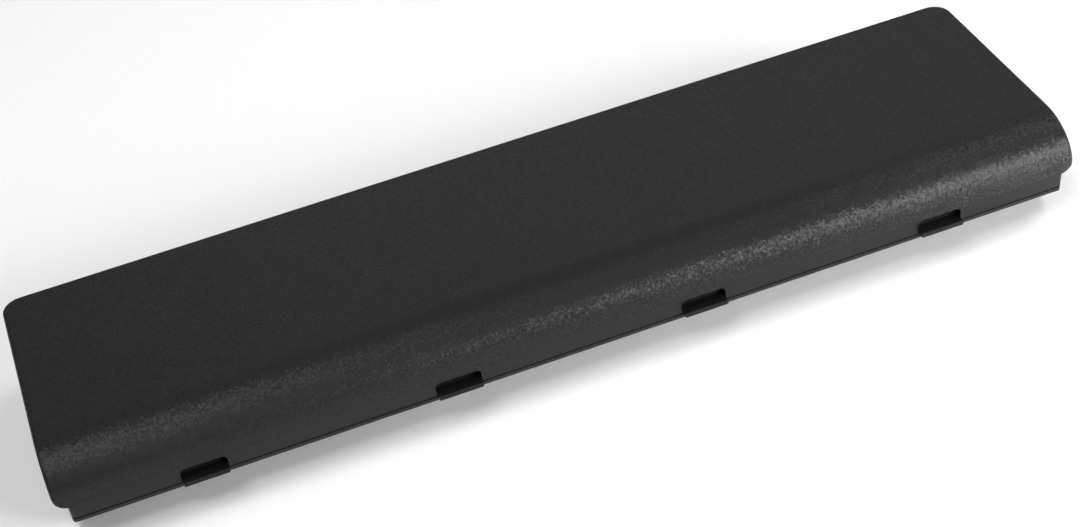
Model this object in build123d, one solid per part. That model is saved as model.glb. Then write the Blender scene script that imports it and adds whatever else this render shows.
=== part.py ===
from build123d import *
from math import sqrt
import os

# Clip-in battery pack of a notebook computer, in millimetres. X runs along the pack, -Y is the
# front with the hook tabs, +Y the rear with the connector, and +Z is up. Z = 0 is the flat
# underside that the pack lies on. While it is modelled, the front face lies at Y = 0, and the
# last step centres the pack over its origin.

# Cells: two rows of cylinders, end to end along X, all with the positive end to +X
CELL_DIAMETER = 18.3
CELL_LENGTH = 65.0
CELLS_IN_ROW = 3
CELL_ROWS = 2
CELL_EDGE = 0.7
BUTTON_RADIUS = 4.8
BUTTON_HEIGHT = 0.4
RIM_WIDTH = 2.6
GROOVE_FROM_TOP = 3.8
GROOVE_WIDTH = 1.5
GROOVE_DEPTH = 0.55
CELL_PLAY = 0.15
CELL_SIDE_PLAY = 0.25
ROW_GAP = 0.2

# Strips, papers and tapes around the cells
STRIP_THICKNESS = 0.2
STRIP_HEIGHT = 7.0
FOLD_GAP = 0.5
ARM_HEIGHT = 3.0
FOOT_LENGTH = 3.0
RING_THICKNESS = 0.2
RING_CLEARANCE = 0.3
PAPER_THICKNESS = 0.3
PAPER_MARGIN = 0.5
END_PLAY = 0.1
TAPE_THICKNESS = 0.12
TAPE_WIDTH = 3.0
TAPE_LENGTH = 42.0

# Case walls
TOP_WALL = 1.0
FLOOR_WALL = 1.0
SIDE_WALL = 1.2
RIB_THICKNESS = 0.8
ROW_RIB_HEIGHT = 2.5
PARTITION_HEIGHT = 7.0

# Outer form of the cover: the grained skirt rolls over from the flat top
NOSE_REACH = 10.0
NOSE_DROP = 7.6
SKIRT_HEIGHT = 9.9
END_LIP = 2.3
LIP_ROUND = 3.0
REAR_CORNER = 4.0
EDGE_ROUND = 0.7
NOSE_RIB_REACH = 6.0

# Smooth band under the skirt, the parting line and the lower half's edge strip. From the skirt
# to the strip's foot the front leans back, so that the pack can be tilted into its bay.
BAND_HEIGHT = 3.4
SEAM_GAP = 0.3
EDGE_STRIP = 0.9
FRONT_LEAN = 1.1
BLOCK_FRONT_CORNER = 0.8
BLOCK_REAR_CORNER = 2.0
LAP_THICKNESS = 0.55
LAP_HEIGHT = 1.5
LAP_PLAY = 0.1
BELLY_REAR_ROUND = 1.5
BELLY_END_ROUND = 1.5

# Hook pockets and tabs along the front, in a row that lies a little off the pack's middle
TAB_COUNT = 4
TAB_PITCH = 49.5
TAB_ROW_SHIFT = -0.6
TAB_WIDTH = 9.0
TAB_OUT = 0.8
TAB_RISE = 0.9
TAB_NOSE = 0.95
TAB_PLAY = 0.15
POCKET_DEPTH = 2.1
POCKET_WALL = 0.9
POCKET_CORNER = 1.2

# Catch recesses for the slide latches in the rear wall
LATCH_SPACING = 140.0
LATCH_WIDTH = 12.0
LATCH_HEIGHT = 3.6
LATCH_DEPTH = 2.2
LATCH_ABOVE_SKIRT = 1.6

# Shallow bare field on the underside
FIELD_LENGTH = 150.0
FIELD_MARGIN = 5.0
FIELD_DEPTH = 0.3
FIELD_CORNER = 2.0

# Control board and what is on it
BOARD_THICKNESS = 1.0
BOARD_STAND_OFF = 0.6
BOARD_PLAY = 0.3
FOOT_LANE = 4.6
CHIP_LANE = 8.5
PART_GAP = 4.0
PIN_DIAMETER = 1.8
PIN_PLAY = 0.1
PIN_PROUD = 0.6
PIN_PAD = 4.0
GAUGE_LENGTH = 9.6
PROTECTOR_LENGTH = 6.5
SWITCH_LENGTH = 5.0
CHIP_WIDTH = 4.0
CHIP_HEIGHT = 1.4
LEAD_PITCH = 1.0
LEAD_WIDTH = 0.4
LEAD_REACH = 1.0
LEAD_THICKNESS = 0.2
RESISTOR_SIZE = (6.4, 3.2, 0.8)
FUSE_SIZE = (6.0, 4.0, 1.6)
CHIP_PART_SIZE = (1.6, 0.8, 0.6)
CHIP_PART_PITCH = 2.6
CHIP_PARTS_PER_SIDE = 6
CHIP_PARTS_START = 5.0
THERMISTOR_RADIUS = 1.6
THERMISTOR_LEAD = 0.5
THERMISTOR_LEAD_SPACING = 1.6

# Blade connector at the rear of the board, rising a little past the foot of the cover's band
BLADE_COUNT = 7
BLADE_PITCH = 2.5
BLADE_SLOT = 0.9
BLADE_SLOT_HEIGHT = 3.6
BLADE_LIP = 1.0
CONTACT_CAVITY_WIDTH = 1.7
CONTACT_CAVITY_DEPTH = 6.0
CONTACT_THICKNESS = 0.25
CONTACT_HEIGHT = 2.6
CONTACT_PLAY = 0.05
CONNECTOR_MARGIN = 1.0
CONNECTOR_RISE = 0.3
CONNECTOR_DEPTH = 8.0
CONNECTOR_SET_BACK = 0.3
CONNECTOR_PLAY = 0.15

# How far a cut runs past the face that it opens
PASS = 1.0

# Stations along X
CELL_RADIUS = CELL_DIAMETER / 2
CELL_PITCH = CELL_LENGTH + 2 * STRIP_THICKNESS + FOLD_GAP
STACK_END = ((CELLS_IN_ROW - 1) * CELL_PITCH + CELL_LENGTH) / 2
INNER_END = STACK_END + STRIP_THICKNESS + PAPER_THICKNESS + END_PLAY
BLOCK_END = INNER_END + SIDE_WALL
COVER_END = BLOCK_END + END_LIP
CELL_STARTS = [i * CELL_PITCH - STACK_END for i in range(CELLS_IN_ROW)]
TAB_XS = [TAB_ROW_SHIFT + (i - (TAB_COUNT - 1) / 2) * TAB_PITCH for i in range(TAB_COUNT)]
LATCH_XS = [-LATCH_SPACING / 2, LATCH_SPACING / 2]

# Stations along Y, from the front face
INNER_FRONT = SIDE_WALL + FRONT_LEAN
ROW_PITCH = CELL_DIAMETER + ROW_GAP
FRONT_ROW = POCKET_DEPTH + POCKET_WALL + CELL_SIDE_PLAY + CELL_RADIUS
ROW_YS = [FRONT_ROW + i * ROW_PITCH for i in range(CELL_ROWS)]
REAR_ROW = ROW_YS[-1]
ROWS_MIDDLE = (FRONT_ROW + REAR_ROW) / 2
PARTITION_FRONT = REAR_ROW + CELL_RADIUS + CELL_SIDE_PLAY
BOARD_WIDTH = FOOT_LANE + CHIP_LANE
BOARD_FRONT = PARTITION_FRONT + RIB_THICKNESS + BOARD_PLAY
BOARD_REAR = BOARD_FRONT + BOARD_WIDTH
INNER_REAR = BOARD_REAR + BOARD_PLAY
DEPTH = INNER_REAR + SIDE_WALL
CHIP_Y = BOARD_FRONT + FOOT_LANE + CHIP_LANE / 2
FOOT_Y = BOARD_FRONT + FOOT_LANE / 2
CONNECTOR_FACE = DEPTH - CONNECTOR_SET_BACK

# Stations along Z
CELL_Z = FLOOR_WALL + CELL_PLAY + CELL_RADIUS
CEILING = CELL_Z + CELL_RADIUS + CELL_PLAY
HEIGHT = CEILING + TOP_WALL
SKIRT_FOOT = HEIGHT - SKIRT_HEIGHT
BAND_FOOT = SKIRT_FOOT - BAND_HEIGHT
SHELL_TOP = BAND_FOOT - SEAM_GAP
FLANGE_FOOT = SHELL_TOP - EDGE_STRIP
LEDGE_TOP = SKIRT_FOOT + SIDE_WALL
CATCH_FOOT = SKIRT_FOOT + LATCH_ABOVE_SKIRT
CATCH_TOP = CATCH_FOOT + LATCH_HEIGHT
BOARD_BOTTOM = FLOOR_WALL + BOARD_STAND_OFF
BOARD_TOP = BOARD_BOTTOM + BOARD_THICKNESS
CONNECTOR_HEIGHT = BAND_FOOT + CONNECTOR_RISE - BOARD_TOP

# Row of parts along the rear lane of the board, from -X to +X
CONNECTOR_LENGTH = BLADE_COUNT * BLADE_PITCH + 2 * CONNECTOR_MARGIN
PART_ROW = [
    ("pin_left", PIN_PAD),
    ("sense_resistor", RESISTOR_SIZE[0]),
    ("protector_chip", PROTECTOR_LENGTH),
    ("gauge_chip", GAUGE_LENGTH),
    ("charge_switch", SWITCH_LENGTH),
    ("discharge_switch", SWITCH_LENGTH),
    ("thermal_fuse", FUSE_SIZE[0]),
    ("connector", CONNECTOR_LENGTH),
    ("pin_right", PIN_PAD),
]
BOARD_LENGTH = sum(length for _, length in PART_ROW) + PART_GAP * (len(PART_ROW) + 1)


def part_stations():
    """Middle of each part in the board's rear lane, one after the other along X."""
    stations = {}
    cursor = PART_GAP - BOARD_LENGTH / 2
    for name, length in PART_ROW:
        stations[name] = cursor + length / 2
        cursor += length + PART_GAP
    return stations


STATIONS = part_stations()
CONNECTOR_X = STATIONS["connector"]

# Alignment of a solid that stands up from its place
UPWARD = (Align.CENTER, Align.CENTER, Align.MIN)


def block(low, high):
    """Box between two corners."""
    size = [b - a for a, b in zip(low, high)]
    middle = [(a + b) / 2 for a, b in zip(low, high)]
    return Pos(*middle) * Box(*size)


def along_x(face, start, end):
    """Solid of a side-view face, whose own axes are Y and Z, from start to end along X."""
    return Pos(start, 0, 0) * extrude(Plane.YZ * face, end - start)


def front_at(z):
    """Place along Y of the leaning front at a height."""
    return FRONT_LEAN * (SKIRT_FOOT - z) / (SKIRT_FOOT - FLANGE_FOOT)


def case_block(low, high):
    """Block of the case below the cover's lips, with its leaning front and rounded corners."""
    foot = -PASS
    side = Polyline(
        (front_at(foot), foot),
        (DEPTH, foot),
        (DEPTH, HEIGHT),
        (front_at(HEIGHT), HEIGHT),
        close=True,
    )
    solid = along_x(make_face(side), -BLOCK_END, BLOCK_END)
    solid = fillet(solid.edges().filter_by(Axis.Z), BLOCK_REAR_CORNER)
    front = solid.faces().sort_by(Axis.Y)[0]
    solid = fillet(front.edges().filter_by(Axis.X, reverse=True), BLOCK_FRONT_CORNER)
    return solid & block((-BLOCK_END, 0, low), (BLOCK_END, DEPTH, high))


def lap_ring(thickness, low, high):
    """Upright ring that stands on the inner edge of the case wall."""
    outer_low = (-INNER_END - thickness, INNER_FRONT - thickness, low)
    outer_high = (INNER_END + thickness, INNER_REAR + thickness, high)
    inside = block((-INNER_END, INNER_FRONT, low - PASS), (INNER_END, INNER_REAR, high + PASS))
    return block(outer_low, outer_high) - inside


def connector_body():
    """Outer block of the connector, seated on the board with its mouth in the rear wall."""
    half = CONNECTOR_LENGTH / 2
    low = (CONNECTOR_X - half, CONNECTOR_FACE - CONNECTOR_DEPTH, BOARD_TOP)
    return block(low, (CONNECTOR_X + half, CONNECTOR_FACE, BOARD_TOP + CONNECTOR_HEIGHT))


def connector_opening(top):
    """Way out of the case round the connector, with play on every side, up to top."""
    half = CONNECTOR_LENGTH / 2 + CONNECTOR_PLAY
    front = CONNECTOR_FACE - CONNECTOR_DEPTH - CONNECTOR_PLAY
    low = (CONNECTOR_X - half, front, BOARD_TOP - CONNECTOR_PLAY)
    return block(low, (CONNECTOR_X + half, DEPTH + PASS, top))


def cover_side(wall_front, wall_top, rear, foot):
    """Side view of the cover, or of its hollow: flat top, rolled front, upright rear."""
    reach = NOSE_REACH - wall_front
    drop = NOSE_DROP - wall_top
    nose_foot = HEIGHT - NOSE_DROP
    top = nose_foot + drop
    nose = EllipticalCenterArc((NOSE_REACH, nose_foot), reach, drop, 90, arc_size=90)
    rest = Polyline(
        (wall_front, nose_foot),
        (wall_front, foot),
        (rear, foot),
        (rear, top),
        (NOSE_REACH, top),
    )
    return make_face(Curve() + [nose, rest])


def lip_rounding(end, foot, radius):
    """What is cut away to round the lower corners of the cover's lips, at both ends."""
    corner = block((0, -PASS, -PASS), (radius + PASS, DEPTH + PASS, radius))
    round_bar = Rot(90, 0, 0) * Cylinder(radius, DEPTH + 4 * PASS)
    corner -= Pos(0, DEPTH / 2, radius) * round_bar
    cutter = Pos(end - radius, 0, foot) * corner
    return cutter + mirror(cutter, Plane.YZ)


def cap():
    """Outer skin of the cover as a full solid: rolled front, soft edges, rounded lips."""
    solid = along_x(cover_side(0, 0, DEPTH, SKIRT_FOOT), -COVER_END, COVER_END)
    uprights = solid.edges().filter_by(Axis.Z).sort_by(Axis.Y)
    solid = fillet(uprights[-2:], REAR_CORNER)
    tiny = EDGE_ROUND / 10
    straight_rear = DEPTH - REAR_CORNER - tiny

    def on_soft_edge(edge):
        """True on the two end outlines and round the rear of the top."""
        spot = edge.center()
        at_rear_top = spot.Z > HEIGHT - tiny and spot.Y > straight_rear
        at_end = abs(spot.X) > COVER_END - tiny and spot.Y < straight_rear
        return at_rear_top or (at_end and spot.Z > SKIRT_FOOT + tiny)

    solid = fillet(solid.edges().filter_by(on_soft_edge), EDGE_ROUND)
    return solid - lip_rounding(COVER_END, SKIRT_FOOT, LIP_ROUND)


def cover_hollow():
    """Space inside the cover: under its skin, and down through the band."""
    end = COVER_END - SIDE_WALL
    solid = along_x(cover_side(SIDE_WALL, TOP_WALL, INNER_REAR, LEDGE_TOP), -end, end)
    rear_uprights = solid.edges().filter_by(Axis.Z).sort_by(Axis.Y)[-2:]
    solid = fillet(rear_uprights, REAR_CORNER - SIDE_WALL)
    solid -= lip_rounding(end, LEDGE_TOP, LIP_ROUND - SIDE_WALL)
    well_low = (-INNER_END, INNER_FRONT, BAND_FOOT - PASS)
    return solid + block(well_low, (INNER_END, INNER_REAR, LEDGE_TOP + PASS))


def pocket_box(x):
    """Walls round a hook pocket, inside the band."""
    half = TAB_WIDTH / 2 + POCKET_WALL
    low = (x - half, INNER_FRONT - SIDE_WALL / 2, BAND_FOOT)
    return block(low, (x + half, POCKET_DEPTH + POCKET_WALL, SKIRT_FOOT + POCKET_WALL))


def pocket(x):
    """Space of a hook pocket, open to the front and below, with its upper corners rounded."""
    half = TAB_WIDTH / 2
    solid = block((x - half, -PASS, BAND_FOOT - PASS), (x + half, POCKET_DEPTH, SKIRT_FOOT))
    upper_corners = solid.edges().filter_by(Axis.Y).group_by(Axis.Z)[-1]
    return fillet(upper_corners, POCKET_CORNER)


def nose_rib(x):
    """Stiffening rib inside the rolled front, over a pocket and clear of the front cells."""
    foot = SKIRT_FOOT + POCKET_WALL / 2
    rear = NOSE_RIB_REACH + NOSE_REACH
    face = cover_side(SIDE_WALL / 2, TOP_WALL / 2, rear, foot)
    face -= Pos(rear, HEIGHT / 2) * Rectangle(2 * NOSE_REACH, 2 * HEIGHT)
    face -= Pos(FRONT_ROW, CELL_Z) * Circle(CELL_RADIUS + CELL_SIDE_PLAY)
    return along_x(face, x - RIB_THICKNESS / 2, x + RIB_THICKNESS / 2)


def latch_box(x):
    """Walls round a latch catch, inside the rear wall."""
    half = LATCH_WIDTH / 2 + POCKET_WALL
    low = (x - half, DEPTH - LATCH_DEPTH - POCKET_WALL, CATCH_FOOT - POCKET_WALL)
    return block(low, (x + half, DEPTH - SIDE_WALL / 2, CATCH_TOP + POCKET_WALL))


def latch_catch(x):
    """Recess in the rear wall that a slide latch of the computer springs into."""
    half = LATCH_WIDTH / 2
    return block((x - half, DEPTH - LATCH_DEPTH, CATCH_FOOT), (x + half, DEPTH + PASS, CATCH_TOP))


def top_cover():
    """Outer cover: grained cap, smooth band below it, hook pockets and latch catches."""
    solid = cap() + case_block(BAND_FOOT, LEDGE_TOP)
    solid -= cover_hollow()
    solid -= lap_ring(LAP_THICKNESS, BAND_FOOT, BAND_FOOT + LAP_HEIGHT)
    for x in TAB_XS:
        solid += pocket_box(x)
        solid += nose_rib(x)
        solid -= pocket(x)
    for x in LATCH_XS:
        solid += latch_box(x)
        solid -= latch_catch(x)
    return solid - connector_opening(BOARD_TOP + CONNECTOR_HEIGHT + CONNECTOR_PLAY)


def belly_side(wall, rear, top):
    """Side view of the lower half, or of its hollow: it wraps under the front row of cells."""
    radius = CELL_Z - wall
    front = FRONT_ROW - sqrt(radius ** 2 - (CELL_Z - top) ** 2)
    slant = radius * sqrt(0.5)
    wrap = ThreePointArc((FRONT_ROW, wall), (FRONT_ROW - slant, CELL_Z - slant), (front, top))
    rest = Polyline((front, top), (rear, top), (rear, wall), (FRONT_ROW, wall))
    return make_face(Curve() + [wrap, rest])


def belly_envelope():
    """Block with the rounded lower edges of the belly, along both ends and the rear."""
    solid = block((-BLOCK_END, -PASS, 0), (BLOCK_END, DEPTH, HEIGHT))
    foot_edges = solid.edges().group_by(Axis.Z)[0]
    solid = fillet(foot_edges.filter_by(Axis.Y), BELLY_END_ROUND)
    rear_foot = solid.edges().filter_by(Axis.X).group_by(Axis.Z)[0].sort_by(Axis.Y)[-1:]
    return fillet(rear_foot, BELLY_REAR_ROUND)


def shell_lap():
    """Ring that stands up inside the cover's band, left out where the pockets are."""
    ring = lap_ring(LAP_THICKNESS - LAP_PLAY, SHELL_TOP, BAND_FOOT + LAP_HEIGHT - LAP_PLAY)
    half = TAB_WIDTH / 2 + POCKET_WALL + LAP_PLAY
    for x in TAB_XS:
        ring -= block((x - half, -PASS, SHELL_TOP - PASS), (x + half, FRONT_ROW, HEIGHT))
    return ring


def hook_tab(x):
    """Tab that stands up in the foot of a pocket, with its nose out of the front face."""
    half = TAB_WIDTH / 2 - TAB_PLAY
    top = BAND_FOOT + TAB_RISE
    back = (x + half, POCKET_DEPTH - TAB_PLAY, top)
    stem = block((x - half, FRONT_LEAN, FLANGE_FOOT), back)
    return stem + block((x - half, -TAB_OUT, top - TAB_NOSE), back)


def row_rib():
    """Low rib on the floor between the two rows of cells."""
    half = RIB_THICKNESS / 2
    low = (-STACK_END, ROWS_MIDDLE - half, FLOOR_WALL / 2)
    return block(low, (STACK_END, ROWS_MIDDLE + half, FLOOR_WALL + ROW_RIB_HEIGHT))


def partition():
    """Upright wall on the floor between the cells and the board's channel."""
    low = (-INNER_END, PARTITION_FRONT, FLOOR_WALL / 2)
    rear = PARTITION_FRONT + RIB_THICKNESS
    return block(low, (INNER_END, rear, FLOOR_WALL + PARTITION_HEIGHT))


def board_post(x):
    """Pad under the board with the pin that is staked over on top of it."""
    foot = FLOOR_WALL / 2
    pad = Cylinder(PIN_PAD / 2, BOARD_BOTTOM - foot, align=UPWARD)
    pin = Cylinder(PIN_DIAMETER / 2, BOARD_TOP + PIN_PROUD - foot, align=UPWARD)
    return Pos(x, CHIP_Y, foot) * (pad + pin)


def underside_field():
    """Shallow field sunk into the flat of the underside."""
    low = (-FIELD_LENGTH / 2, FRONT_ROW + FIELD_MARGIN, -PASS)
    rear = DEPTH - BELLY_REAR_ROUND - FIELD_MARGIN
    solid = block(low, (FIELD_LENGTH / 2, rear, FIELD_DEPTH))
    return fillet(solid.edges().filter_by(Axis.Z), FIELD_CORNER)


def bottom_shell():
    """Lower half: belly under the cells, edge strip, lap, hook tabs, ribs and board posts."""
    solid = along_x(belly_side(0, DEPTH, FLANGE_FOOT), -BLOCK_END, BLOCK_END)
    solid += block((-BLOCK_END, 0, FLANGE_FOOT), (BLOCK_END, DEPTH, SHELL_TOP))
    solid &= case_block(-PASS, SHELL_TOP + PASS)
    solid &= belly_envelope()
    solid -= along_x(belly_side(FLOOR_WALL, INNER_REAR, SHELL_TOP), -INNER_END, INNER_END)
    solid += shell_lap()
    for x in TAB_XS:
        solid += hook_tab(x)
    solid += row_rib()
    solid += partition()
    for name in ("pin_left", "pin_right"):
        solid += board_post(STATIONS[name])
    solid -= underside_field()
    return solid - connector_opening(HEIGHT)


def cell(start, row_y):
    """One sealed cell: can with eased edges, groove under the rim and raised button."""
    top = CELL_LENGTH - BUTTON_HEIGHT
    groove_top = top - GROOVE_FROM_TOP
    groove_foot = groove_top - GROOVE_WIDTH
    outline = Polyline(
        (0, 0),
        (CELL_RADIUS - CELL_EDGE, 0),
        (CELL_RADIUS, CELL_EDGE),
        (CELL_RADIUS, groove_foot),
        (CELL_RADIUS - GROOVE_DEPTH, groove_foot + GROOVE_WIDTH / 2),
        (CELL_RADIUS, groove_top),
        (CELL_RADIUS, top - CELL_EDGE),
        (CELL_RADIUS - CELL_EDGE, top),
        (0, top),
        close=True,
    )
    can = revolve(Plane.XZ * make_face(outline), Axis.Z)
    can -= Pos(0, 0, top - RING_THICKNESS) * Cylinder(CELL_RADIUS - RIM_WIDTH, CELL_LENGTH, align=UPWARD)
    can += Pos(0, 0, top / 2) * Cylinder(BUTTON_RADIUS, CELL_LENGTH - top / 2, align=UPWARD)
    return Pos(start, row_y, CELL_Z) * Rot(0, 90, 0) * can


def insulator_ring(start, row_y):
    """Paper ring that lies on the rim of a cell, round its button."""
    ring = Cylinder(CELL_RADIUS - CELL_EDGE, RING_THICKNESS, align=UPWARD)
    ring -= Cylinder(BUTTON_RADIUS + RING_CLEARANCE, CELL_LENGTH)
    return Pos(start + CELL_LENGTH - BUTTON_HEIGHT, row_y, CELL_Z) * Rot(0, 90, 0) * ring


def strip_plate(x):
    """Nickel plate welded across the ends of both rows, from x on towards +X."""
    face = Pos(ROWS_MIDDLE, CELL_Z) * SlotCenterToCenter(ROW_PITCH, STRIP_HEIGHT)
    return along_x(face, x, x + STRIP_THICKNESS)


def strip_arm(x):
    """Arm of a plate that reaches over the partition into the board's channel."""
    low = (x, REAR_ROW, CELL_Z - ARM_HEIGHT / 2)
    return block(low, (x + STRIP_THICKNESS, FOOT_Y, CELL_Z + ARM_HEIGHT / 2))


def strip_leg(x):
    """Leg that stands down from an arm to the board, with a foot soldered to it."""
    low = (x, FOOT_Y, BOARD_TOP)
    rear = FOOT_Y + ARM_HEIGHT
    leg = block(low, (x + STRIP_THICKNESS, rear, CELL_Z + ARM_HEIGHT / 2))
    return leg + block(low, (x + FOOT_LENGTH, rear, BOARD_TOP + STRIP_THICKNESS))


def middle_strip(x):
    """Folded strip between two cells in line: two plates, the fold, and a tap to the board."""
    second = x + STRIP_THICKNESS + FOLD_GAP
    top = CELL_Z + STRIP_HEIGHT / 2
    fold_low = (x, ROWS_MIDDLE - ROW_PITCH / 2, top - STRIP_THICKNESS)
    fold = block(fold_low, (second + STRIP_THICKNESS, ROWS_MIDDLE + ROW_PITCH / 2, top))
    return strip_plate(x) + strip_plate(second) + fold + strip_arm(x) + strip_leg(x)


def end_strip(side):
    """Strip on the free cell ends at one end of the pack, with a ribbon along to the board."""
    outer = side * (STACK_END + STRIP_THICKNESS / 2) - STRIP_THICKNESS / 2
    landing = side * (BOARD_LENGTH / 2 - FOOT_LENGTH)
    ribbon_top = CELL_Z + ARM_HEIGHT / 2
    ribbon_rear = FOOT_Y + STRIP_THICKNESS
    leg_end = landing + FOOT_LENGTH / 2
    ribbon_low = (min(outer, landing), FOOT_Y, CELL_Z - ARM_HEIGHT / 2)
    ribbon_end = max(outer, landing) + STRIP_THICKNESS
    ribbon = block(ribbon_low, (ribbon_end, ribbon_rear, ribbon_top))
    leg = block((landing, FOOT_Y, BOARD_TOP), (leg_end, ribbon_rear, ribbon_top))
    foot_high = (leg_end, FOOT_Y + FOOT_LANE / 2, BOARD_TOP + STRIP_THICKNESS)
    foot = block((landing, FOOT_Y, BOARD_TOP), foot_high)
    return strip_plate(outer) + strip_arm(outer) + ribbon + leg + foot


def end_paper(side):
    """Insulating paper between an end strip and the case wall."""
    height = CELL_DIAMETER - 2 * PAPER_MARGIN
    face = Pos(ROWS_MIDDLE, CELL_Z) * SlotCenterToCenter(ROW_PITCH, height)
    inner = STACK_END + STRIP_THICKNESS
    start = inner if side > 0 else -inner - PAPER_THICKNESS
    return along_x(face, start, start + PAPER_THICKNESS)


def adhesive_pad(start, row_y):
    """Tape between a cell and the floor."""
    middle = start + CELL_LENGTH / 2
    low = (middle - TAPE_LENGTH / 2, row_y, FLOOR_WALL)
    high = (middle + TAPE_LENGTH / 2, row_y + TAPE_WIDTH, FLOOR_WALL + TAPE_THICKNESS)
    return block(low, high)


def control_board():
    """Circuit board with the two holes that its staked pins pass through."""
    half = BOARD_LENGTH / 2
    solid = block((-half, BOARD_FRONT, BOARD_BOTTOM), (half, BOARD_REAR, BOARD_TOP))
    for name in ("pin_left", "pin_right"):
        hole = Cylinder(PIN_DIAMETER / 2 + PIN_PLAY, 2 * HEIGHT)
        solid -= Pos(STATIONS[name], CHIP_Y, 0) * hole
    return solid


def chip(x, length):
    """Moulded chip with bent leads along both long sides."""
    shoulder = CHIP_HEIGHT / 2
    bend = LEAD_REACH / 2
    lead_side = Polyline(
        (0, shoulder),
        (bend, shoulder),
        (bend, LEAD_THICKNESS),
        (LEAD_REACH, LEAD_THICKNESS),
        (LEAD_REACH, 0),
        (bend - LEAD_THICKNESS, 0),
        (bend - LEAD_THICKNESS, shoulder - LEAD_THICKNESS),
        (0, shoulder - LEAD_THICKNESS),
        close=True,
    )
    lead = extrude(Plane.YZ * make_face(lead_side), LEAD_WIDTH / 2, both=True)
    body_low = (-length / 2, -CHIP_WIDTH / 2, LEAD_THICKNESS)
    solid = block(body_low, (length / 2, CHIP_WIDTH / 2, CHIP_HEIGHT))
    solid = chamfer(solid.faces().sort_by(Axis.Z)[-1].edges(), LEAD_THICKNESS)
    count = int(length / LEAD_PITCH)
    for i in range(count):
        shift = (i - (count - 1) / 2) * LEAD_PITCH
        solid += Pos(shift, CHIP_WIDTH / 2, 0) * lead
        solid += Pos(shift, -CHIP_WIDTH / 2, 0) * mirror(lead, Plane.XZ)
    return Pos(x, CHIP_Y, BOARD_TOP) * solid


def seated(x, y, size):
    """Plain component of a given size, seated on the board."""
    return Pos(x, y, BOARD_TOP) * Box(*size, align=UPWARD)


def chip_parts():
    """Small chip components along the front lane, on both sides of the thermistor."""
    parts = []
    for side in (-1, 1):
        for i in range(CHIP_PARTS_PER_SIDE):
            x = side * (CHIP_PARTS_START + i * CHIP_PART_PITCH)
            parts.append(seated(x, FOOT_Y, CHIP_PART_SIZE))
    return parts


def thermistor():
    """Temperature bead behind the middle rear cell, on two leads that stand on the board."""
    y = BOARD_FRONT + THERMISTOR_LEAD
    solid = Pos(0, y, CELL_Z) * Sphere(THERMISTOR_RADIUS)
    for side in (-1, 1):
        lead = Cylinder(THERMISTOR_LEAD / 2, CELL_Z - BOARD_TOP, align=UPWARD)
        solid += Pos(side * THERMISTOR_LEAD_SPACING / 2, y, BOARD_TOP) * lead
    return solid


def blade_xs():
    """Middles of the connector's blade slots."""
    first = CONNECTOR_X - (BLADE_COUNT - 1) / 2 * BLADE_PITCH
    return [first + i * BLADE_PITCH for i in range(BLADE_COUNT)]


def connector_housing():
    """Connector body with a row of upright slots that the computer's blades enter."""
    solid = connector_body()
    lip_back = CONNECTOR_FACE - BLADE_LIP
    low = BOARD_TOP + (CONNECTOR_HEIGHT - BLADE_SLOT_HEIGHT) / 2
    high = low + BLADE_SLOT_HEIGHT
    for x in blade_xs():
        half = CONTACT_CAVITY_WIDTH / 2
        solid -= block((x - half, lip_back - CONTACT_CAVITY_DEPTH, low), (x + half, lip_back, high))
        half = BLADE_SLOT / 2
        solid -= block((x - half, lip_back - PASS, low), (x + half, CONNECTOR_FACE + PASS, high))
    return solid


def connector_contact(x):
    """Forked spring contact inside one slot: two leaves joined at the back."""
    half = CONTACT_CAVITY_WIDTH / 2 - CONTACT_PLAY
    front = CONNECTOR_FACE - BLADE_LIP - CONTACT_PLAY
    back = front - CONTACT_CAVITY_DEPTH + 2 * CONTACT_PLAY
    low = BOARD_TOP + (CONNECTOR_HEIGHT - CONTACT_HEIGHT) / 2
    high = low + CONTACT_HEIGHT
    fork = block((x - half, back, low), (x + half, front, high))
    half -= CONTACT_THICKNESS
    between_low = (x - half, back + CONTACT_THICKNESS, low - PASS)
    return fork - block(between_low, (x + half, front + PASS, high + PASS))


def all_parts():
    """Every piece of the pack, by name, as a list of its solids."""
    parts = {"top_cover": [top_cover()], "bottom_shell": [bottom_shell()]}
    for row, row_y in zip(("front", "rear"), ROW_YS):
        for i, start in enumerate(CELL_STARTS):
            parts[f"cell_{row}_{i + 1}"] = [cell(start, row_y)]
    places = [(start, row_y) for row_y in ROW_YS for start in CELL_STARTS]
    parts["insulator_rings"] = [insulator_ring(*place) for place in places]
    parts["strip_negative"] = [end_strip(-1)]
    for i, start in enumerate(CELL_STARTS[:-1]):
        parts[f"strip_middle_{i + 1}"] = [middle_strip(start + CELL_LENGTH)]
    parts["strip_positive"] = [end_strip(1)]
    parts["end_paper_left"] = [end_paper(-1)]
    parts["end_paper_right"] = [end_paper(1)]
    parts["adhesive_pads"] = [adhesive_pad(*place) for place in places]
    parts["control_board"] = [control_board()]
    parts["gauge_chip"] = [chip(STATIONS["gauge_chip"], GAUGE_LENGTH)]
    parts["protector_chip"] = [chip(STATIONS["protector_chip"], PROTECTOR_LENGTH)]
    parts["charge_switch"] = [chip(STATIONS["charge_switch"], SWITCH_LENGTH)]
    parts["discharge_switch"] = [chip(STATIONS["discharge_switch"], SWITCH_LENGTH)]
    parts["sense_resistor"] = [seated(STATIONS["sense_resistor"], CHIP_Y, RESISTOR_SIZE)]
    parts["thermal_fuse"] = [seated(STATIONS["thermal_fuse"], CHIP_Y, FUSE_SIZE)]
    parts["chip_parts"] = chip_parts()
    parts["thermistor"] = [thermistor()]
    parts["connector_housing"] = [connector_housing()]
    parts["connector_contacts"] = [connector_contact(x) for x in blade_xs()]
    return parts


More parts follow.
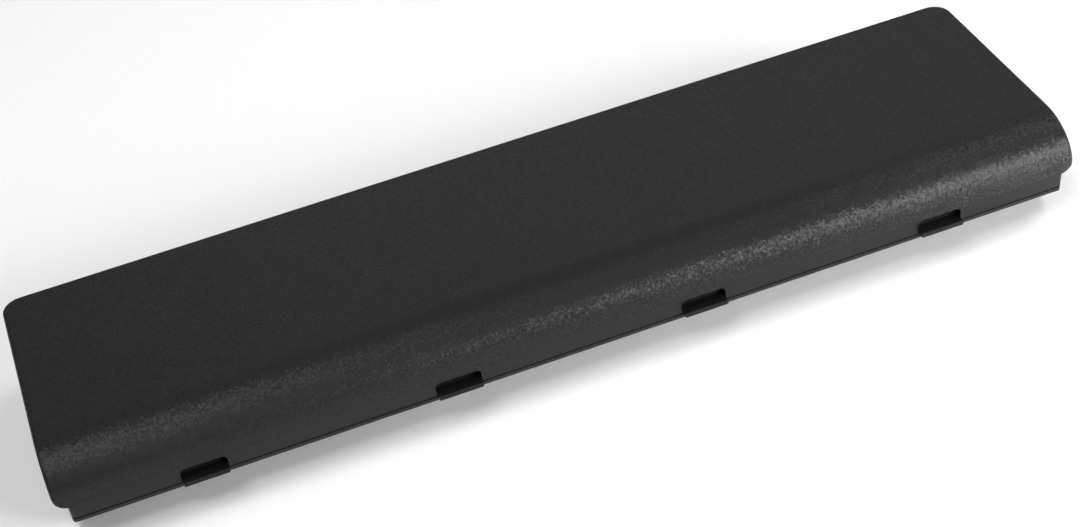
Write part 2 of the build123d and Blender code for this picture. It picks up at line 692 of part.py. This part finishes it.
os.makedirs("parts", exist_ok=True)
CENTRED = Pos(0, (TAB_OUT - DEPTH) / 2, 0)
for node, solids in all_parts().items():
    shapes = [CENTRED * solid for solid in solids]
    export_step(shapes[0] if len(shapes) == 1 else Compound(children=shapes), f"parts/{node}.step")
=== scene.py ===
import math

import bpy
from mathutils import Matrix, Vector


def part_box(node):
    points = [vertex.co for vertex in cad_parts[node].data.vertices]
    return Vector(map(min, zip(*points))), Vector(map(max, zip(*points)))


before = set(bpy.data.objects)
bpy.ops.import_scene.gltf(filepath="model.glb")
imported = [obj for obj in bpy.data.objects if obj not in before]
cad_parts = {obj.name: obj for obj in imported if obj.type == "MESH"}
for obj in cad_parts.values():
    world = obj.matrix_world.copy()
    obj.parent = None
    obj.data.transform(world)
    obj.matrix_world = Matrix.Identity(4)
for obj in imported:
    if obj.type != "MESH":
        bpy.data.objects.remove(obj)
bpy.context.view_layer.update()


# Cells
# Six steel cans in plain shrink wrap, which folds over the edges and leaves both ends bare
# for welding. They lie end to end in two rows of three, taped to the floor of the lower half.

noise_low, noise_high = 0.3, 0.7  # where most of a noise lies


class Finish:
    """A material in the making, built up node by node. Sizes are in metres."""

    def __init__(self, name, colour, roughness, metallic=0.0):
        self.material = bpy.data.materials.new(name)
        self.material.use_nodes = True
        self.tree = self.material.node_tree
        self.shader = self.tree.nodes["Principled BSDF"]
        self.drive("Base Color", colour)
        self.drive("Roughness", roughness)
        self.drive("Metallic", metallic)
        self.place = self.add("TexCoord").outputs["Object"]

    def add(self, kind, **settings):
        """A new node, with its own settings."""
        node = self.tree.nodes.new("ShaderNode" + kind)
        for name, value in settings.items():
            setattr(node, name, value)
        return node

    def feed(self, socket, value):
        """Gives an input a constant, or links it to the socket that drives it."""
        if isinstance(value, bpy.types.NodeSocket):
            self.tree.links.new(value, socket)
        elif socket.type == "RGBA":
            socket.default_value = (*value, 1.0)
        else:
            socket.default_value = value

    def drive(self, name, value):
        """Feeds an input of the shader."""
        self.feed(self.shader.inputs[name], value)

    def stretched(self, along):
        """The object's own place, scaled by a factor along each axis."""
        node = self.add("Mapping")
        self.feed(node.inputs["Vector"], self.place)
        self.feed(node.inputs["Scale"], along)
        return node.outputs["Vector"]

    def speckle(self, size, detail=2.0, along=None):
        """Soft noise from 0 to 1, with spots of a size."""
        node = self.add("TexNoise")
        self.feed(node.inputs["Vector"], self.stretched(along) if along else self.place)
        self.feed(node.inputs["Scale"], 1.0 / size)
        self.feed(node.inputs["Detail"], detail)
        return node.outputs["Fac"]

    def axis(self, letter, normal=False):
        """One coordinate of the place, or of the surface's direction."""
        node = self.add("SeparateXYZ")
        direction = self.add("NewGeometry").outputs["Normal"] if normal else self.place
        self.feed(node.inputs["Vector"], direction)
        return node.outputs[letter]

    def math(self, operation, first, second=0.0):
        """Arithmetic on one or two values."""
        node = self.add("Math", operation=operation)
        for socket, value in zip(node.inputs, (first, second)):
            self.feed(socket, value)
        return node.outputs["Value"]

    def ramp(self, value, start, end, low=0.0, high=1.0):
        """Value taken from start..end to low..high, and held there outside."""
        node = self.add("MapRange", interpolation_type="SMOOTHSTEP")
        names = ("Value", "From Min", "From Max", "To Min", "To Max")
        for name, given in zip(names, (value, start, end, low, high)):
            self.feed(node.inputs[name], given)
        return node.outputs["Result"]

    def colours(self, factor, first, second):
        """Colour between two, by a factor that varies over the surface."""
        node = self.add("Mix", data_type="RGBA")
        self.feed(node.inputs["Factor"], factor)
        colour_inputs = [socket for socket in node.inputs if socket.type == "RGBA"]
        for socket, colour in zip(colour_inputs, (first, second)):
            self.feed(socket, colour)
        return next(socket for socket in node.outputs if socket.type == "RGBA")

    def mottle(self, noise, first, second):
        """Lets the base colour vary between two with a noise."""
        self.drive("Base Color", self.colours(noise, first, second))

    def roughen(self, noise, smooth, rough):
        """Lets the roughness vary from smooth to rough with a noise."""
        self.drive("Roughness", self.ramp(noise, noise_low, noise_high, smooth, rough))

    def relief(self, height, depth):
        """Bump of a height map whose full range is depth."""
        node = self.add("Bump")
        self.feed(node.inputs["Height"], height)
        self.feed(node.inputs["Distance"], depth)
        self.drive("Normal", node.outputs["Normal"])

    def facets(self, size, tilt):
        """Small facets of a size, each leaning its own way by up to tilt."""
        cells = self.add("TexVoronoi")
        self.feed(cells.inputs["Vector"], self.place)
        self.feed(cells.inputs["Scale"], 1.0 / size)
        centred = self.add("VectorMath", operation="SUBTRACT")
        self.feed(centred.inputs[0], cells.outputs["Color"])
        self.feed(centred.inputs[1], (0.5, 0.5, 0.5))
        lean = self.add("VectorMath", operation="SCALE")
        self.feed(lean.inputs[0], centred.outputs["Vector"])
        self.feed(lean.inputs["Scale"], self.math("MULTIPLY", tilt, 2.0))
        leaning = self.add("VectorMath", operation="ADD")
        self.feed(leaning.inputs[0], lean.outputs["Vector"])
        self.feed(leaning.inputs[1], self.add("NewGeometry").outputs["Normal"])
        self.drive("Normal", leaning.outputs["Vector"])


def dress(finish, *names):
    """Gives the finish to carried-over pieces of the pack."""
    for name in names:
        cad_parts[name].data.materials[0] = finish.material


cell_names = [f"cell_{row}_{i}" for row in ("front", "rear") for i in (1, 2, 3)]
wrap_colour = (0.035, 0.17, 0.13)
wrap_shade = (0.028, 0.14, 0.11)
can_steel = (0.55, 0.54, 0.52)
end_facing_start, end_facing_full = 0.75, 0.85
crease_size = 0.004
crease_depth = 0.00002

shrink_wrap = Finish("shrink wrap over steel", wrap_colour, roughness=0.35)
facing_end = shrink_wrap.math("ABSOLUTE", shrink_wrap.axis("X", normal=True))
bare_end = shrink_wrap.ramp(facing_end, end_facing_start, end_facing_full)
creases = shrink_wrap.speckle(crease_size, detail=3.0, along=(0.2, 1, 1))
wrap = shrink_wrap.colours(creases, wrap_shade, wrap_colour)
shrink_wrap.mottle(bare_end, wrap, can_steel)
shrink_wrap.drive("Metallic", bare_end)
shrink_wrap.roughen(creases, smooth=0.3, rough=0.42)
shrink_wrap.relief(creases, crease_depth)
dress(shrink_wrap, *cell_names)


# Insulating papers
# Stiff grey-white paper: a ring on the positive rim of each cell, and a sheet between the
# end strips and the case at both ends. Cut out flat and laid in.

paper_colour = (0.60, 0.58, 0.50)
paper_fibre = (0.48, 0.46, 0.39)
fibre_size = 0.0006
fibre_depth = 0.00003

paper = Finish("insulating paper", paper_colour, roughness=0.85)
fibres = paper.speckle(fibre_size, detail=6.0, along=(1, 0.3, 1))
paper.mottle(fibres, paper_fibre, paper_colour)
paper.relief(fibres, fibre_depth)
dress(paper, "insulator_rings", "end_paper_left", "end_paper_right")


# Nickel strips
# Rolled nickel, cut and folded, spot-welded across the cell ends. Each has an arm over the
# partition that is soldered to the board.

nickel_colour = (0.62, 0.59, 0.54)
nickel_dull = (0.50, 0.48, 0.44)
rolling_size = 0.0008

nickel = Finish("rolled nickel", nickel_colour, roughness=0.35, metallic=1.0)
rolling = nickel.speckle(rolling_size, detail=4.0, along=(1, 0.05, 1))
nickel.mottle(rolling, nickel_dull, nickel_colour)
nickel.roughen(rolling, smooth=0.28, rough=0.45)
dress(nickel, "strip_negative", "strip_middle_1", "strip_middle_2", "strip_positive")


# Adhesive pads
# Double-sided tape, one length under each cell, which holds it to the floor of the lower
# half.

tape_colour = (0.72, 0.70, 0.64)
tape_shade = (0.60, 0.58, 0.52)
tape_spot = 0.001

tape = Finish("double-sided tape", tape_colour, roughness=0.6)
tape.mottle(tape.speckle(tape_spot, detail=4.0), tape_shade, tape_colour)
dress(tape, "adhesive_pads")


# Control board
# Glass-fibre laminate under a green coating, staked to the lower half by two pins. The
# copper tracks show as a lighter green.

coating_green = (0.012, 0.085, 0.032)
track_green = (0.025, 0.15, 0.055)
track_pitch = 0.0016
track_height = 0.00003
brick_row = 0.25  # height of a row of the brick pattern at scale 1

laminate = Finish("coated circuit board", coating_green, roughness=0.35)
tracks = laminate.add("TexBrick", offset=0.5)
laminate.feed(tracks.inputs["Vector"], laminate.stretched((1.0, 1.6, 1.0)))
laminate.feed(tracks.inputs["Scale"], brick_row / track_pitch)
laminate.feed(tracks.inputs["Mortar Size"], 0.03)
laminate.feed(tracks.inputs["Mortar Smooth"], 0.3)
laminate.mottle(tracks.outputs["Fac"], coating_green, track_green)
laminate.relief(tracks.outputs["Fac"], track_height)
dress(laminate, "control_board")


# Chips and switches
# Black moulded packages with tinned leads along both long sides, soldered to the board in a
# row.

chip_names = ("gauge_chip", "protector_chip", "charge_switch", "discharge_switch")
package_black = (0.022, 0.022, 0.024)
package_grey = (0.034, 0.034, 0.036)
tinned_lead = (0.70, 0.69, 0.66)
package_half_width = 0.00202
package_edge = 0.00002
resin_spot = 0.0002

low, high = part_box("gauge_chip")
row_middle = (low.y + high.y) / 2

package = Finish("moulded chip package", package_black, roughness=0.6)
from_middle = package.math("ABSOLUTE", package.math("SUBTRACT", package.axis("Y"), row_middle))
lead = package.ramp(from_middle, package_half_width, package_half_width + package_edge)
resin = package.colours(package.speckle(resin_spot, detail=3.0), package_black, package_grey)
package.mottle(lead, resin, tinned_lead)
package.drive("Metallic", lead)
package.drive("Roughness", package.ramp(lead, 0.0, 1.0, low=0.62, high=0.3))
dress(package, *chip_names)


# Ceramic parts
# Pale fired bodies of the sense resistor, the fuse and the small chip parts, soldered to the
# board.

ceramic_colour = (0.50, 0.46, 0.38)
ceramic_shade = (0.38, 0.35, 0.29)
ceramic_spot = 0.0004
ceramic_patch = 0.0009

ceramic = Finish("fired ceramic", ceramic_colour, roughness=0.55)
ceramic.mottle(ceramic.speckle(ceramic_spot, detail=4.0), ceramic_shade, ceramic_colour)
ceramic.roughen(ceramic.speckle(ceramic_patch), smooth=0.45, rough=0.65)
dress(ceramic, "sense_resistor", "thermal_fuse", "chip_parts")


# Thermistor
# Resin bead dipped over two tinned wires, which hold it against the middle rear cell.

bead_colour = (0.02, 0.02, 0.022)
bead_edge = 0.0001
drip_size = 0.0008

low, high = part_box("thermistor")
bead_foot = high.z - (high.x - low.x)

bead = Finish("dipped resin bead", bead_colour, roughness=0.3)
wire = bead.ramp(bead.axis("Z"), bead_foot, bead_foot - bead_edge)
drips = bead.colours(bead.speckle(drip_size), bead_colour, package_grey)
bead.mottle(wire, drips, tinned_lead)
bead.drive("Metallic", wire)
dress(bead, "thermistor")


# Connector
# Black moulded housing with seven upright slots, soldered to the board. A forked spring
# contact of gold-flashed bronze sits in each slot.

housing_black = (0.012, 0.012, 0.013)
housing_grey = (0.02, 0.02, 0.021)
housing_spot = 0.0002
housing_depth = 0.000008
gold_flash = (0.78, 0.56, 0.22)
gold_dull = (0.62, 0.44, 0.18)
gold_spot = 0.0005

housing = Finish("connector plastic", housing_black, roughness=0.5)
moulded_grain = housing.speckle(housing_spot, detail=3.0)
housing.mottle(moulded_grain, housing_black, housing_grey)
housing.roughen(moulded_grain, smooth=0.45, rough=0.58)
housing.relief(moulded_grain, housing_depth)
dress(housing, "connector_housing")

gold = Finish("gold-flashed contact", gold_flash, roughness=0.3, metallic=1.0)
gold.mottle(gold.speckle(gold_spot, detail=4.0), gold_dull, gold_flash)
dress(gold, "connector_contacts")


# Lower half
# Moulded in charcoal plastic with a fine matt texture. Its edge strip shows under the parting
# line, and its hook tabs stand up in the foot of the cover's pockets. Above the seam the
# shell, tabs and lap alike, is painted darker, as painted shade of the pockets. Its lap stands
# up inside the cover, where it is welded.

case_specular = 0.2
shell_black = (0.011, 0.011, 0.0115)
shell_grey = (0.015, 0.015, 0.0155)
# Painted shade: the hook tabs in the cover's pockets are painted darker than the shell.
tab_painted_shade = (0.006, 0.006, 0.0062)
seam_height = 0.007
tab_start, tab_full = seam_height + 0.00005, seam_height + 0.00015
texture_size = 0.00018
texture_depth = 0.00001
shell_cloud = 0.03

shell = Finish("fine matt plastic", shell_black, roughness=0.45)
fine_texture = shell.speckle(texture_size, detail=3.0)
shell_skin = shell.colours(shell.speckle(shell_cloud), shell_black, shell_grey)
# The shell above the seam, with its hook tabs, takes the painted shade.
tab = shell.ramp(shell.axis("Z"), tab_start, tab_full)
shell.mottle(tab, shell_skin, tab_painted_shade)
shell.drive("Specular IOR Level", case_specular)
shell.roughen(fine_texture, smooth=0.42, rough=0.52)
shell.relief(fine_texture, texture_depth)
dress(shell, "bottom_shell")


# Cover
# Moulded charcoal plastic. A coarse spark-eroded grain covers the flat top and the rolled
# front, steeper on the skirt, and stops at a sharp line. The smooth band below it leans back
# towards its foot and holds the four hook pockets. The band is painted a little darker than
# the grain, and the pockets' insides near black, both as painted shade.

cover_black = (0.0108, 0.0108, 0.0112)
cover_grey = (0.0138, 0.0138, 0.0144)
cover_cloud = 0.02
# Painted shade: the smooth band under the grain line is painted darker than the grain.
band_black_with_painted_shade = (0.0085, 0.0085, 0.0088)
# Painted shade: the insides of the hook pockets are painted near black.
pocket_painted_shade = (0.003, 0.003, 0.0031)
grain_size = 0.0003
top_grain_lean = 0.11
skirt_grain_lean = 0.22
skirt_height = 0.0128
roll_height = 0.0155
grained_height = 0.0099
line_softness = 0.0001
band_slope = 0.0011 / 0.0046
pocket_start, pocket_full = 0.0001, 0.0004
pocket_depth = 0.003
pocket_fade = 0.001
pockets_reach = 0.085
grain_roughness = 0.37
band_roughness = 0.34
pocket_roughness = 0.6

low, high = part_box("top_cover")
front_face = low.y
pocket_back = front_face + pocket_depth
grain_line = high.z - grained_height

cover = Finish("grained charcoal plastic", cover_black, roughness=0.5)
across, inwards, upwards = (cover.axis(letter) for letter in "XYZ")
grained = cover.ramp(upwards, grain_line - line_softness, grain_line + line_softness)
smooth = cover.math("SUBTRACT", 1.0, grained)

under_line = cover.math("SUBTRACT", grain_line, upwards)
band_face = cover.math("ADD", cover.math("MULTIPLY", under_line, band_slope), front_face)
behind_band = cover.ramp(cover.math("SUBTRACT", inwards, band_face), pocket_start, pocket_full)
before_back = cover.ramp(inwards, pocket_back + pocket_fade, pocket_back)
from_middle = cover.math("ABSOLUTE", across)
between_ends = cover.ramp(from_middle, pockets_reach + pocket_fade, pockets_reach)
# Where the pockets' painted shade goes: behind the band's face, short of the pockets' back,
# between the ends and below the grain line. It also sets the pockets' roughness.
pocket = cover.math("MULTIPLY", behind_band, before_back)
pocket = cover.math("MULTIPLY", pocket, between_ends)
pocket = cover.math("MULTIPLY", pocket, smooth)

grain_colour = cover.colours(cover.speckle(cover_cloud, detail=3.0), cover_black, cover_grey)
# The band under the grain line takes its painted shade.
cover_skin = cover.colours(grained, band_black_with_painted_shade, grain_colour)
# The pockets' insides take their near-black painted shade.
cover.mottle(pocket, cover_skin, pocket_painted_shade)
cover.drive("Specular IOR Level", case_specular)
smooth_roughness = cover.ramp(pocket, 0.0, 1.0, low=band_roughness, high=pocket_roughness)
cover.drive("Roughness", cover.ramp(grained, 0.0, 1.0, smooth_roughness, grain_roughness))
grain_lean = cover.ramp(upwards, skirt_height, roll_height, skirt_grain_lean, top_grain_lean)
cover.facets(grain_size, cover.math("MULTIPLY", grained, grain_lean))
dress(cover, "top_cover")


# Floor
# A plain pale sheet, wide enough to fill every view. It is no part of the pack.

floor_half = 4.0
floor_white = (0.92, 0.92, 0.92)
floor_shade = (0.90, 0.90, 0.90)
floor_cloud = 0.5

square = ((-1, -1), (1, -1), (1, 1), (-1, 1))
corners = [(x * floor_half, y * floor_half, 0.0) for x, y in square]
floor_mesh = bpy.data.meshes.new("floor")
floor_mesh.from_pydata(corners, [], [(0, 1, 2, 3)])
floor = bpy.data.objects.new("floor", floor_mesh)
bpy.context.scene.collection.objects.link(floor)
sheet = Finish("pale sheet", floor_white, roughness=0.9)
sheet.mottle(sheet.speckle(floor_cloud), floor_shade, floor_white)
floor_mesh.materials.append(sheet.material)


# Light
# Soft studio light: boxes overhead, in front, behind and high at both sides, which also keep
# the floor pale, one low at the front right for the sheen on the rolled front, and a beam on
# the floor beside it that lights the skirt from below.

room_strength = 0.02
no_limit = 180.0
soft_boxes = (  # name, place, target, width, height, watts, spread of the beam in degrees
    ("overhead", (-0.3, 0, 1.1), (-0.04, 0, 0.01), 0.4, 0.35, 3.0, no_limit),
    ("front high", (-0.32, -0.45, 1.0), (-0.08, 0, 0.01), 0.4, 0.35, 3.0, no_limit),
    ("front", (-0.2, -0.82, 0.57), (-0.06, 0, 0.01), 0.5, 0.4, 0.7, no_limit),
    ("rear", (0, 1.18, 0.65), (0, 0, 0.01), 1.6, 1.2, 0.8, no_limit),
    ("rear right", (0.59, 1.02, 0.65), (0, 0, 0.01), 1.6, 1.2, 2.2, no_limit),
    ("left high", (-1.0, 0.1, 1.1), (0, 0, 0.01), 0.8, 0.8, 4.0, no_limit),
    ("right high", (1.0, 0.1, 1.1), (0, 0, 0.01), 0.8, 0.8, 7.0, no_limit),
    ("front right", (0.38, -0.42, 0.18), (0.13, -0.04, 0.01), 0.4, 0.26, 0.75, 60.0),
    ("floor at the right", (0.26, -0.28, 0.5), (0.155, -0.125, 0), 0.06, 0.06, 0.5, 17.0),
)

for name, place, target, width, height, watts, spread in soft_boxes:
    light = bpy.data.lights.new(name, "AREA")
    light.shape = "RECTANGLE"
    light.size = width
    light.size_y = height
    light.energy = watts
    light.spread = math.radians(spread)
    lamp = bpy.data.objects.new(name, light)
    lamp.location = place
    lamp.rotation_euler = (Vector(target) - Vector(place)).to_track_quat("-Z", "Y").to_euler()
    lamp.visible_camera = False
    bpy.context.scene.collection.objects.link(lamp)

room = bpy.data.worlds.new("room")
room.use_nodes = True
background = room.node_tree.nodes["Background"]
background.inputs["Color"].default_value = (1.0, 1.0, 1.0, 1.0)
background.inputs["Strength"].default_value = room_strength
bpy.context.scene.world = room
bpy.context.scene.view_settings.view_transform = "Standard"


# Camera
# It looks down on the front edge from the left, a little rolled, so that the pack rises to
# the right.

camera_place = Vector((-0.0758, -0.35645, 0.2751))
camera_target = Vector((-0.00346, -0.0162, 0.02128))
camera_roll = math.radians(-11.12)
focal_pixels = 2278.4
frame_width_pixels = 1080.0
sensor_millimetres = 36.0
nearest = 0.01

lens = bpy.data.cameras.new("camera")
lens.sensor_width = sensor_millimetres
lens.lens = focal_pixels / frame_width_pixels * sensor_millimetres
lens.clip_start = nearest
camera = bpy.data.objects.new("camera", lens)
aim = (camera_target - camera_place).to_track_quat("-Z", "Y").to_matrix().to_4x4()
roll = Matrix.Rotation(camera_roll, 4, "Z")
camera.matrix_world = Matrix.Translation(camera_place) @ aim @ roll
bpy.context.scene.collection.objects.link(camera)
bpy.context.scene.camera = camera
